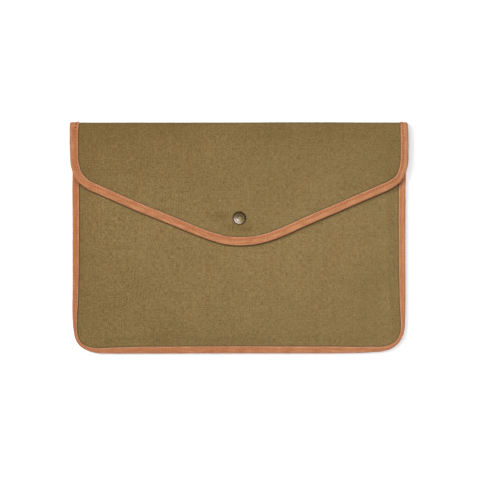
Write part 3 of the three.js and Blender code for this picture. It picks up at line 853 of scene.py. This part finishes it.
def front_canvas(s, material):
    """The canvas of the pocket's front: columns across, rows from the bottom edge to the mouth. Its
    colour carries painted light and shade: lighter where it is full, beside the right binding and
    along the bottom, and darker low at both sides."""
    corner = pocket_corner(s)
    corner_x, corner_y = corner[:2] + corner[2:] * s.inset
    up = np.append(np.arange(corner_y[-1] + ROW_PITCH, s.mouth - MM, ROW_PITCH), s.mouth)
    y = np.concatenate([corner_y, up])[:, None]
    half = np.concatenate([corner_x, half_width(s, up) - s.inset])[:, None]
    columns = 133
    x = half * np.linspace(-1, 1, columns)
    y = np.broadcast_to(y, x.shape)
    rise = s.front_seam + front_rise(s, x, y)
    inside, round_edge = from_pocket_edge(s, x, y)
    seam = inside - front_cover(round_edge)
    # Distance below the flap's edge, for the painted shadow line under it.
    past_flap = -from_flap_edge(s, x, y)
    outer = np.stack([x, y, rise + s.canvas], axis=-1)
    inner = np.stack([x, y, rise], axis=-1)
    uv = np.stack([x, y], axis=-1)
    # Painted light and shade: lighter where the cloth is full, beside the right binding and along the
    # bottom, darker low at both sides.
    by_right = 0.3 * bell(x, 174 * MM, 8 * MM)
    by_bottom = 0.12 * bell(y, -122 * MM, 9 * MM)
    low_sides = 0.2 * bell(y, -60 * MM, 35 * MM) * bell(np.abs(x), 115 * MM, 45 * MM)
    rub = 0.3 + 0.7 * fullness(s, x, y) / s.crown + by_right + by_bottom - low_sides
    values = {"seam": [seam, seam], "rub": [rub, 0 * rub], "past_flap": [past_flap, 1 + 0 * rub]}
    piece = sheet_piece("canvas_front", outer, inner, uv, values)
    return dressed(piece, material, "canvas", "front_panel")


def cap_profile(s):
    """Half section of the cap: the socket's bore and flange, the neck, the rolled rim as part of a
    circle, and the dome as a power curve from the rim to the top, with a shallow plain ring."""
    under = -s.canvas - s.gap
    roof = s.gap + 0.6 * MM
    bevel = 0.2 * MM
    dome_power = 2.3
    wire = s.rim_radius
    roll = np.radians(np.linspace(-90, 115, 12))
    rim_centre = s.cap_radius - wire
    rim = np.stack([rim_centre + wire * np.cos(roll), s.gap + wire + wire * np.sin(roll)], axis=-1)
    start = rim[-1]
    t = np.linspace(1, 0, 34)[1:-1]
    ring = s.ring_groove * bell(t, s.ring_place, s.ring_width)
    dome_z = start[1] + (s.cap_rise - start[1]) * (1 - t**dome_power) - ring
    dome = np.stack([start[0] * t, dome_z], axis=-1)
    bore = [
        [0, roof],
        [s.bore_radius, roof],
        [s.bore_radius, under - s.socket_depth],
        [s.socket_radius - bevel, under - s.socket_depth],
        [s.socket_radius, under - s.socket_depth + bevel],
        [s.socket_radius, under],
        [s.neck_radius, under],
        [s.neck_radius, s.gap],
    ]
    return np.concatenate([bore, rim, dome, [[0, s.cap_rise]]])


# Shader graphs

class Graph:
    """Short forms for adding nodes to a shader tree: most calls give back an output socket."""

    def __init__(self, tree):
        self.tree = tree

    def node(self, kind, inputs=None, **settings):
        """A node with its settings, each input linked to a socket or set to a value."""
        made = self.tree.nodes.new(kind)
        for name, value in settings.items():
            setattr(made, name, value)
        for key, value in (inputs or {}).items():
            if isinstance(value, bpy.types.NodeSocket):
                self.link(value, made.inputs[key])
            else:
                made.inputs[key].default_value = value
        return made

    def math(self, operation, *values):
        """A Math node."""
        return self.node("ShaderNodeMath", dict(enumerate(values)), operation=operation).outputs[0]

    def hypot(self, a, b):
        """Length of two sides at a right angle."""
        squares = [self.math("MULTIPLY", side, side) for side in (a, b)]
        return self.math("SQRT", self.math("ADD", *squares))

    def times(self, vector, scales):
        """A vector multiplied part by part."""
        inputs = {0: vector, 1: scales}
        return self.node("ShaderNodeVectorMath", inputs, operation="MULTIPLY").outputs[0]

    def mix(self, factor, a, b, blend_type="MIX"):
        """Two colours mixed by a factor."""
        inputs = {0: factor, 6: a, 7: b}
        return self.node("ShaderNodeMix", inputs, data_type="RGBA", blend_type=blend_type).outputs[2]

    def ramp(self, value, low, high, to_low=0.0, to_high=1.0):
        """A value eased from one range to another."""
        inputs = {0: value, 1: low, 2: high, 3: to_low, 4: to_high}
        return self.node("ShaderNodeMapRange", inputs, interpolation_type="SMOOTHSTEP").outputs[0]

    def noise(self, vector, scale, detail=2.0):
        """Soft noise between 0 and 1."""
        inputs = {"Vector": vector, "Scale": scale, "Detail": detail}
        return self.node("ShaderNodeTexNoise", inputs).outputs[0]

    def attribute(self, name):
        """A point attribute of the piece."""
        return self.node("ShaderNodeAttribute", attribute_name=name).outputs["Fac"]

    def parts(self, vector):
        """The x, y and z of a vector."""
        return self.node("ShaderNodeSeparateXYZ", {0: vector}).outputs

    def link(self, value, socket):
        """Feeds an output socket into an input socket."""
        self.tree.links.new(value, socket)

    def object_place(self):
        """The piece's own coordinates, in metres."""
        return self.node("ShaderNodeTexCoord").outputs["Object"]

    def cut_place(self):
        """Coordinates on the flat cut of the cloth, in metres."""
        return self.node("ShaderNodeUVMap", uv_map="cut").outputs[0]


def new_group(name, inputs, outputs):
    """A shader node group with named sockets: its graph, its input sockets and its output node."""
    tree = bpy.data.node_groups.new(name, "ShaderNodeTree")
    for socket, (kind, default) in inputs.items():
        made = tree.interface.new_socket(socket, in_out="INPUT", socket_type=kind)
        if default is not None:
            made.default_value = default
    for socket in outputs:
        tree.interface.new_socket(socket, in_out="OUTPUT", socket_type="NodeSocketFloat")
    graph = Graph(tree)
    return graph, graph.node("NodeGroupInput").outputs, graph.node("NodeGroupOutput")


def mottle_group(name):
    """Uneven tone at three scales: fine flecks, patches and slow clouds, added about a half."""
    graph, given, out = new_group(
        name,
        {
            "Vector": ("NodeSocketVector", None),
            "Scale": ("NodeSocketFloat", 100.0),
            "Flecks": ("NodeSocketFloat", 0.4),
            "Patches": ("NodeSocketFloat", 0.4),
            "Clouds": ("NodeSocketFloat", 0.4),
        },
        ["Tone"],
    )
    total = 0.5
    for size, ratio in (("Flecks", 4.4), ("Patches", 1.0), ("Clouds", 0.17)):
        scale = graph.math("MULTIPLY", given["Scale"], ratio)
        centred = graph.math("SUBTRACT", graph.noise(given["Vector"], scale, 2.0), 0.5)
        total = graph.math("MULTIPLY_ADD", centred, given[size], total)
    graph.link(total, out.inputs["Tone"])
    return graph.tree


def weave_group(name):
    """Plain weave: each yarn is a rounded ridge that rises over every other crossing yarn. The height
    is that of the yarn on top, and so is the tone: a noise drawn out along each yarn."""
    graph, given, out = new_group(
        name,
        {"Vector": ("NodeSocketVector", None), "Pitch": ("NodeSocketFloat", 0.85 * MM)},
        ["Height", "Yarn tone"],
    )
    cells = graph.times(given["Vector"], graph.math("DIVIDE", 1.0, given["Pitch"]))
    across, up, _ = graph.parts(cells)
    waves = [graph.math("SINE", graph.math("MULTIPLY", way, math.pi)) for way in (across, up)]
    ridges = []
    for own, cross, way in ((0, 1, 0.5), (1, 0, -0.5)):
        side = graph.math("SIGN", waves[own])
        over = graph.math("MULTIPLY", graph.math("MULTIPLY", waves[cross], side), way)
        lift = graph.math("ADD", over, 0.5)
        ridges.append(graph.math("MULTIPLY", graph.math("ABSOLUTE", waves[own]), lift))
    graph.link(graph.math("MAXIMUM", *ridges), out.inputs["Height"])
    tones = []
    for short, long in (((1.0, 0.22, 1.0), (1.0, 0.02, 1.0)), ((0.22, 1.0, 1.0), (0.02, 1.0, 1.0))):
        slub = graph.noise(graph.times(cells, short), 0.8, 2.0)
        streak = graph.noise(graph.times(cells, long), 0.8, 2.0)
        tones.append(graph.math("MULTIPLY_ADD", slub, 0.69, graph.math("MULTIPLY", streak, 0.31)))
    warp, weft = tones
    on_top = graph.ramp(graph.math("SUBTRACT", *ridges), -0.2, 0.2)
    tone = graph.math("MULTIPLY_ADD", on_top, graph.math("SUBTRACT", warp, weft), weft)
    graph.link(tone, out.inputs["Yarn tone"])
    return graph.tree


def edge_wear_and_shade_group(name):
    """A mask along an edge, for wear and for painted shade: full at the edge, fades over its reach
    and is broken up by noise."""
    graph, given, out = new_group(
        name,
        {
            "Vector": ("NodeSocketVector", None),
            "Distance": ("NodeSocketFloat", 0.0),
            "Reach": ("NodeSocketFloat", 1 * MM),
            "Scale": ("NodeSocketFloat", 400.0),
        },
        ["Mask"],
    )
    rough = graph.noise(given["Vector"], given["Scale"], 3.0)
    uneven = graph.math("MULTIPLY", given["Reach"], graph.math("MULTIPLY_ADD", rough, 1.6, 0.2))
    graph.link(graph.ramp(given["Distance"], 0.0, uneven, 1.0, 0.0), out.inputs["Mask"])
    return graph.tree


def from_group(graph, name, make, **inputs):
    """Outputs of a shader group that the materials share, which is made when it is first asked for."""
    tree = bpy.data.node_groups.get(name) or make(name)
    inputs = {key.capitalize(): value for key, value in inputs.items()}
    return graph.node("ShaderNodeGroup", inputs, node_tree=tree).outputs


def mottled(graph, place, **amounts):
    """Uneven tone at a place."""
    return from_group(graph, "Mottle", mottle_group, vector=place, **amounts)["Tone"]


def edge_wear_and_shade(graph, place, **reaches):
    """Mask along an edge, for wear and for painted shade."""
    return from_group(graph, "Edge wear", edge_wear_and_shade_group, vector=place, **reaches)["Mask"]


def woven(graph, place, pitch):
    """Height of the weave and tone of its yarns."""
    outputs = from_group(graph, "Plain weave", weave_group, vector=place, pitch=pitch)
    return outputs["Height"], outputs["Yarn tone"]


def opaque(value, times=1.0):
    """A colour made some times lighter, with full alpha."""
    return (*(min(1.0, times * part) for part in value), 1.0)


def new_material(name, roughness, **constants):
    """A material whose Principled BSDF has its constant values set on its own sockets."""
    material = bpy.data.materials.new(name)
    material.use_nodes = True
    graph = Graph(material.node_tree)
    shader = material.node_tree.nodes["Principled BSDF"]
    shader.inputs["Roughness"].default_value = roughness
    for socket, value in constants.items():
        shader.inputs[socket.replace("_", " ")].default_value = value
    return material, graph, shader


def bumped(graph, shader, height, distance, strength):
    """Feeds a height through a Bump node into the shader's normal."""
    inputs = {"Height": height, "Distance": distance, "Strength": strength}
    graph.link(graph.node("ShaderNodeBump", inputs).outputs[0], shader.inputs["Normal"])


def canvas_material(look, s):
    """Woven cotton: two yarn colours mixed by the tone of the yarns, uneven dye and painted light and
    shade, with patches of warmer and cooler tint; it is lighter towards the right as painted light. It
    has painted shade close to the leather and in a ring round the cap, and a painted shadow line under
    the flap's edge. The weave is its relief."""
    material, graph, shader = new_material("canvas", 0.93, Specular_IOR_Level=0.2)
    place = graph.cut_place()
    ridge, yarn_tone = woven(graph, place, look.weave_pitch)
    dye = mottled(graph, place, scale=130.0, flecks=0.9, patches=0.25, clouds=0.25)
    # Painted light and shade: where this attribute is high the tone is lighter and the yarns stand out
    # more.
    rub = graph.attribute("rub")
    yarn = graph.math("SUBTRACT", yarn_tone, 0.5)
    tone = graph.math("MULTIPLY_ADD", yarn, graph.ramp(rub, 0.0, 1.0, 1.3, 3.1), dye)
    crest = graph.math("MULTIPLY_ADD", ridge, 0.3, -0.2)
    tone = graph.math("ADD", tone, crest)
    tone = graph.math("ADD", tone, graph.ramp(rub, 0.0, 1.0, -0.27, 0.03))
    # Painted light: the tone grows lighter towards the right.
    across, *_ = graph.parts(place)
    tone = graph.math("MULTIPLY_ADD", across, 0.6, tone)
    base = graph.mix(tone, opaque(look.canvas_dark), opaque(look.canvas_light))
    hue = mottled(graph, place, scale=75.0, flecks=0.6, patches=0.9, clouds=0.5)
    tint = graph.mix(hue, (0.95, 1.02, 1.08, 1.0), (1.05, 0.98, 0.92, 1.0))
    base = graph.mix(1.0, base, tint, "MULTIPLY")
    # Painted shade beside the leather.
    seam = edge_wear_and_shade(graph, place, distance=graph.attribute("seam"), reach=2.1 * MM, scale=300.0)
    base = graph.mix(graph.math("MULTIPLY", seam, 0.75), base, opaque(look.canvas_seam))
    # Painted shadow line under the flap's edge.
    past_flap = graph.attribute("past_flap")
    line = graph.ramp(past_flap, 0.0, 2.6 * MM, 0.92, 0.0)
    base = graph.mix(line, base, opaque(look.canvas_line))
    # Painted shade in a ring round the cap, on the flap only.
    ends = {0: place, 1: (0, s.fold_y - s.snap_y, 0)}
    from_snap = graph.node("ShaderNodeVectorMath", ends, operation="DISTANCE").outputs["Value"]
    pressed = graph.ramp(from_snap, s.cap_radius, s.cap_radius + 1.6 * MM, 0.75, 0.0)
    on_flap = graph.ramp(past_flap, 0.4, 0.6)
    base = graph.mix(graph.math("MULTIPLY", pressed, on_flap), base, opaque(look.canvas_seam))
    graph.link(base, shader.inputs["Base Color"])
    fuzz = graph.noise(place, 1500.0, 2.0)
    height = graph.math("MULTIPLY_ADD", fuzz, 0.5, ridge)
    bumped(graph, shader, height, 0.15 * MM, 0.45)
    return material


def leather_material(look, s):
    """Tanned leather: mottled and streaked colour, lighter towards the right and deeper along the
    sleeve's left as painted light, and deeper along its bottom, with paler cut edges, a darker fold, a
    stained stitch line, dark needle holes, a painted shadow under the flap's edge and a fine grain of
    cells."""
    material, graph, shader = new_material("leather", 0.55, Specular_IOR_Level=0.4)
    place = graph.object_place()
    names = ("stitch", "sewn", "from_edge", "from_fold")
    stitch, sewn, from_edge, from_fold = (graph.attribute(name) for name in names)
    tone = mottled(graph, place, scale=110.0, flecks=0.9, patches=0.7, clouds=0.5)
    streak = graph.noise(graph.times(graph.cut_place(), (70.0, 620.0, 0.0)), 1.0, 3.0)
    tone = graph.math("ADD", tone, graph.math("MULTIPLY_ADD", streak, 2.0, -1.0))
    across, up, _ = graph.parts(place)
    # Painted light falling from the right: the tone grows lighter towards the right and deeper along the
    # left side.
    tone = graph.math("MULTIPLY_ADD", across, 1.1, tone)
    at_bottom = graph.ramp(up, -135 * MM, -115 * MM, -0.18, 0.0)
    at_left = graph.ramp(across, -186 * MM, -172 * MM, -0.18, 0.0)
    at_left = graph.math("MULTIPLY", at_left, graph.ramp(up, 55 * MM, 85 * MM, 1.0, 0.4))
    tone = graph.math("ADD", tone, graph.math("MINIMUM", at_bottom, at_left))
    base = graph.mix(tone, opaque(look.leather_deep), opaque(look.leather))
    cut = edge_wear_and_shade(graph, place, distance=from_edge, reach=0.9 * MM, scale=500.0)
    base = graph.mix(cut, base, opaque(look.leather_edge))
    # Darker along the folded edge.
    fold = edge_wear_and_shade(graph, place, distance=from_fold, reach=1.5 * MM, scale=350.0)
    base = graph.mix(graph.math("MULTIPLY", fold, 0.75), base, opaque(look.leather_stain))
    off_across = graph.math("SUBTRACT", from_edge, s.stitch_inset)
    groove = graph.ramp(graph.math("ABSOLUTE", off_across), 0.4 * MM, 1.2 * MM, 0.4, 0.0)
    base = graph.mix(groove, base, opaque(look.leather_stain))
    beat = graph.math("FRACT", graph.math("ADD", stitch, 0.5))
    off_along = graph.math("MULTIPLY", graph.math("SUBTRACT", beat, 0.5), s.stitch_pitch)
    slanted = graph.math("MULTIPLY_ADD", off_across, 0.5, off_along)
    away = graph.hypot(graph.math("MULTIPLY", slanted, 0.75), off_across)
    number = graph.math("FLOOR", graph.math("ADD", stitch, 0.5))
    chance = graph.node("ShaderNodeTexWhiteNoise", {"W": number}, noise_dimensions="1D").outputs["Value"]
    own = graph.ramp(chance, 0.0, 1.0, 0.5, 1.3)
    spell = graph.ramp(graph.noise(place, 38.0, 1.0), 0.38, 0.55, 0.7, 1.1)
    depth = graph.math("MULTIPLY", graph.math("MULTIPLY", own, spell), sewn)
    shown = graph.ramp(sewn, 0.0, 0.12, 0.15, 0.75)
    stain = graph.math("MULTIPLY", graph.ramp(away, 0.6 * MM, 1.4 * MM, 1.0, 0.0), shown)
    base = graph.mix(stain, base, opaque(look.leather_stain))
    hole = graph.ramp(away, 0.4 * MM, 1.05 * MM, 1.0, 0.0)
    base = graph.mix(graph.math("MULTIPLY", hole, depth), base, opaque(look.leather_hole))
    # Painted shadow on the pocket's leather under the flap's edge, fading towards the folded edge.
    line = graph.ramp(graph.attribute("past_flap"), 0.0, 6.5 * MM, 0.68, 0.0)
    line = graph.math("MULTIPLY", line, graph.ramp(from_fold, 0.5 * MM, 3.5 * MM, 0.2, 1.0))
    base = graph.mix(line, base, opaque(look.leather_hole))
    graph.link(base, shader.inputs["Base Color"])
    inputs = {"Vector": place, "Scale": 1100.0}
    cells = graph.node("ShaderNodeTexVoronoi", inputs, feature="SMOOTH_F1").outputs[0]
    pores = graph.noise(place, 2600.0, 2.0)
    grain = graph.math("MULTIPLY_ADD", pores, 0.4, cells)
    bumped(graph, shader, grain, 0.12 * MM, 0.4)
    graph.link(graph.ramp(tone, 0.2, 0.8, 0.66, 0.5), shader.inputs["Roughness"])
    return material


def thread_material(look):
    """Waxed thread: uneven colour and a fine twist."""
    material, graph, shader = new_material("thread", 0.6)
    place = graph.object_place()
    tone = mottled(graph, place, scale=400.0, flecks=0.5, patches=0.8, clouds=0.5)
    base = graph.mix(tone, opaque(look.thread), opaque(look.thread, times=1.25))
    graph.link(base, shader.inputs["Base Color"])
    twist = graph.noise(place, 3000.0, 1.0)
    bumped(graph, shader, twist, 0.08 * MM, 0.5)
    return material


def brass_material(look, s):
    """Aged brass: clear metal on top of the dome and towards its upper right, paler towards its lower
    left as a painted highlight, dark patina at the rim, in the pressed ring and in flecks, with uneven
    gloss and faint dents."""
    material, graph, shader = new_material("aged_brass", 0.3, Metallic=1.0)
    place = graph.node("ShaderNodeMapping", {0: graph.object_place(), 1: (0, -s.snap_y, 0)}).outputs[0]
    across, up, _ = graph.parts(place)
    radius = graph.hypot(across, up)
    dome_radius = s.cap_radius - s.rim_radius
    from_rim = graph.math("SUBTRACT", dome_radius, radius)
    rim_reach = graph.ramp(up, -4.0 * MM, 4.0 * MM, 1.8 * MM, 2.8 * MM)
    rim = edge_wear_and_shade(graph, place, distance=from_rim, reach=rim_reach, scale=500.0)
    tone = mottled(graph, place, scale=420.0, flecks=1.0, patches=1.2, clouds=0.4)
    fleck = graph.ramp(tone, 0.2, 0.52, 0.7, 0.0)
    off_ring = graph.math("ABSOLUTE", graph.math("SUBTRACT", radius, s.ring_place * dome_radius))
    grime = graph.ramp(off_ring, 0.0, 1.1 * MM, 0.6, 0.0)
    patina = graph.math("MAXIMUM", rim, graph.math("MAXIMUM", fleck, grime))
    # Painted highlight: the metal is paler towards the lower left, where the highlight falls, and warm
    # towards the upper right.
    slanting = graph.math("MULTIPLY", graph.math("ADD", across, up), math.sqrt(0.5))
    away_from_painted_highlight = graph.ramp(slanting, -4.0 * MM, 0.0)
    rubbed = graph.math("MAXIMUM", graph.ramp(radius, 0.8 * MM, 2.6 * MM, 1.0, 0.0), away_from_painted_highlight)
    metal = graph.mix(rubbed, opaque(look.brass_pale), opaque(look.brass))
    base = graph.mix(patina, metal, opaque(look.brass_patina))
    graph.link(base, shader.inputs["Base Color"])
    graph.link(graph.ramp(patina, 0.0, 1.0, 0.4, 0.5), shader.inputs["Roughness"])
    bumped(graph, shader, graph.noise(place, 700.0, 3.0), 0.06 * MM, 0.12)
    return material


def floor_material(setup):
    """A plain pale sweep with hardly any tone of its own."""
    material, graph, shader = new_material("floor", 0.9, Specular_IOR_Level=0.1)
    tone = mottled(graph, graph.object_place(), scale=3.0, flecks=0.1, patches=0.1, clouds=0.1)
    base = graph.mix(tone, opaque(setup.floor), opaque(setup.floor, times=1.01))
    graph.link(base, shader.inputs["Base Color"])
    return material


# Operators

class SLEEVE_OT_stage(bpy.types.Operator):
    """Sets up the floor, the soft light and the camera above the sleeve."""

    bl_idname = "sleeve.stage"
    bl_label = "Stage"

    def execute(self, context):
        scene = context.scene
        setup = scene.sleeve_stage
        reach = setup.floor_size / 2
        level = -0.1 * MM
        corners = [(-reach, -reach), (reach, -reach), (reach, reach), (-reach, reach)]
        floor = finish_mesh("floor", np.array([(*corner, level) for corner in corners]), [[0, 1, 2, 3]])
        floor.data.materials.append(floor_material(setup))
        scene.view_settings.view_transform = "Standard"
        world = bpy.data.worlds.new("soft_room")
        world.use_nodes = True
        world.node_tree.nodes["Background"].inputs[0].default_value = opaque(setup.ambient_colour)
        world.node_tree.nodes["Background"].inputs[1].default_value = setup.ambient
        scene.world = world
        lights = (
            ("overhead_softbox", setup.overhead, (1.5, 1.5), (0.1, 0.0, 3.0), False),
            ("left_softbox", setup.key, (1.1, 1.1), (-1.3, 0.7, 1.75), False),
            ("low_card", setup.low_card, (5.0, 1.0), (-0.7, -1.05, 0.95), True),
            ("side_card", setup.side_card, (1.2, 0.8), (1.2, -0.7, 0.9), True),
            ("high_card", setup.high_card, (2.8, 2.8), (-0.1, -0.3, 2.8), True),
        )
        for name, power, size, place, card in lights:
            data = bpy.data.lights.new(name, "AREA")
            data.shape, data.energy = "RECTANGLE", power
            data.size, data.size_y = size
            light = bpy.data.objects.new(name, data)
            light.location = place
            light.visible_camera = False
            light.visible_glossy = card
            light.visible_diffuse = not card
            light.rotation_euler = (-light.location).to_track_quat("-Z", "Y").to_euler()
            scene.collection.objects.link(light)
        data = bpy.data.cameras.new("camera_above")
        data.sensor_width = 36.0
        data.lens = data.sensor_width * setup.camera_height / setup.view_width
        camera = bpy.data.objects.new("camera_above", data)
        camera.location = (setup.camera_x, setup.camera_y, setup.camera_height)
        scene.collection.objects.link(camera)
        scene.camera = camera
        return {"FINISHED"}


class SLEEVE_OT_bindings(bpy.types.Operator):
    """Makes the leather strips round the pocket and the flap, with their stitches."""

    bl_idname = "sleeve.bindings"
    bl_label = "Bindings and stitches"

    def execute(self, context):
        s = sleeve_lines(context.scene)
        look = context.scene.sleeve_finish
        leather, thread = leather_material(look, s), thread_material(look)
        strips = (
            ("pocket", pocket_strip(s), ["pocket_binding"]),
            ("flap", flap_strip(s), ["flap_binding", "fold_binding_left", "fold_binding_right"]),
        )
        for name, strip, nodes in strips:
            leather_strip(strip, f"leather_{name}_binding", leather, nodes)
            stitch_row(strip, f"thread_{name}_binding", thread)
        return {"FINISHED"}


class SLEEVE_OT_canvas(bpy.types.Operator):
    """Makes the canvas of the back and flap and of the front."""

    bl_idname = "sleeve.canvas"
    bl_label = "Canvas"

    def execute(self, context):
        s = sleeve_lines(context.scene)
        material = canvas_material(context.scene.sleeve_finish, s)
        folded = folded_canvas(s, material)
        front = front_canvas(s, material)
        return {"FINISHED"}


class SLEEVE_OT_snap(bpy.types.Operator):
    """Makes the snap's domed cap and gives the stud under the flap the same brass."""

    bl_idname = "sleeve.snap"
    bl_label = "Snap"

    def execute(self, context):
        s = sleeve_lines(context.scene)
        brass = brass_material(context.scene.sleeve_finish, s)
        level = CAP_BOX[1].z - s.cap_rise
        cap = turned_piece("brass_snap_cap", cap_profile(s), steps=96, x=0, y=s.snap_y, z=level)
        dressed(cap, brass, "brass", "snap_cap")
        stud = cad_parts["snap_stud"]
        stud.data.materials.clear()
        stud.data.materials.append(brass)
        return {"FINISHED"}


class SLEEVE_PT_sleeve(bpy.types.Panel):
    """Lists the sleeve's sizes and the steps that make it."""

    bl_idname = "SLEEVE_PT_sleeve"
    bl_label = "Envelope laptop sleeve"
    bl_space_type = "VIEW_3D"
    bl_region_type = "UI"
    bl_category = "Sleeve"

    def draw(self, context):
        for group, kind in SCENE_GROUPS.items():
            box = self.layout.box()
            for name in kind.__annotations__:
                box.prop(getattr(context.scene, group), name)
        for operator in OPERATORS:
            self.layout.operator(operator.bl_idname)


OPERATORS = (SLEEVE_OT_stage, SLEEVE_OT_bindings, SLEEVE_OT_canvas, SLEEVE_OT_snap)
CLASSES = (*SCENE_GROUPS.values(), *OPERATORS, SLEEVE_PT_sleeve)


def register():
    """Registers the classes and gives the scene its groups of sizes."""
    for kind in CLASSES:
        bpy.utils.register_class(kind)
    for name, kind in SCENE_GROUPS.items():
        setattr(bpy.types.Scene, name, bpy.props.PointerProperty(type=kind))


def unregister():
    """Takes the groups of sizes off the scene and drops the classes."""
    for name in SCENE_GROUPS:
        delattr(bpy.types.Scene, name)
    for kind in reversed(CLASSES):
        bpy.utils.unregister_class(kind)


def main():
    """Dresses the sleeve step by step."""
    register()
    bpy.ops.sleeve.stage()
    bpy.ops.sleeve.bindings()
    bpy.ops.sleeve.canvas()
    bpy.ops.sleeve.snap()
    bpy.context.view_layer.update()


if __name__ == "__main__":
    main()
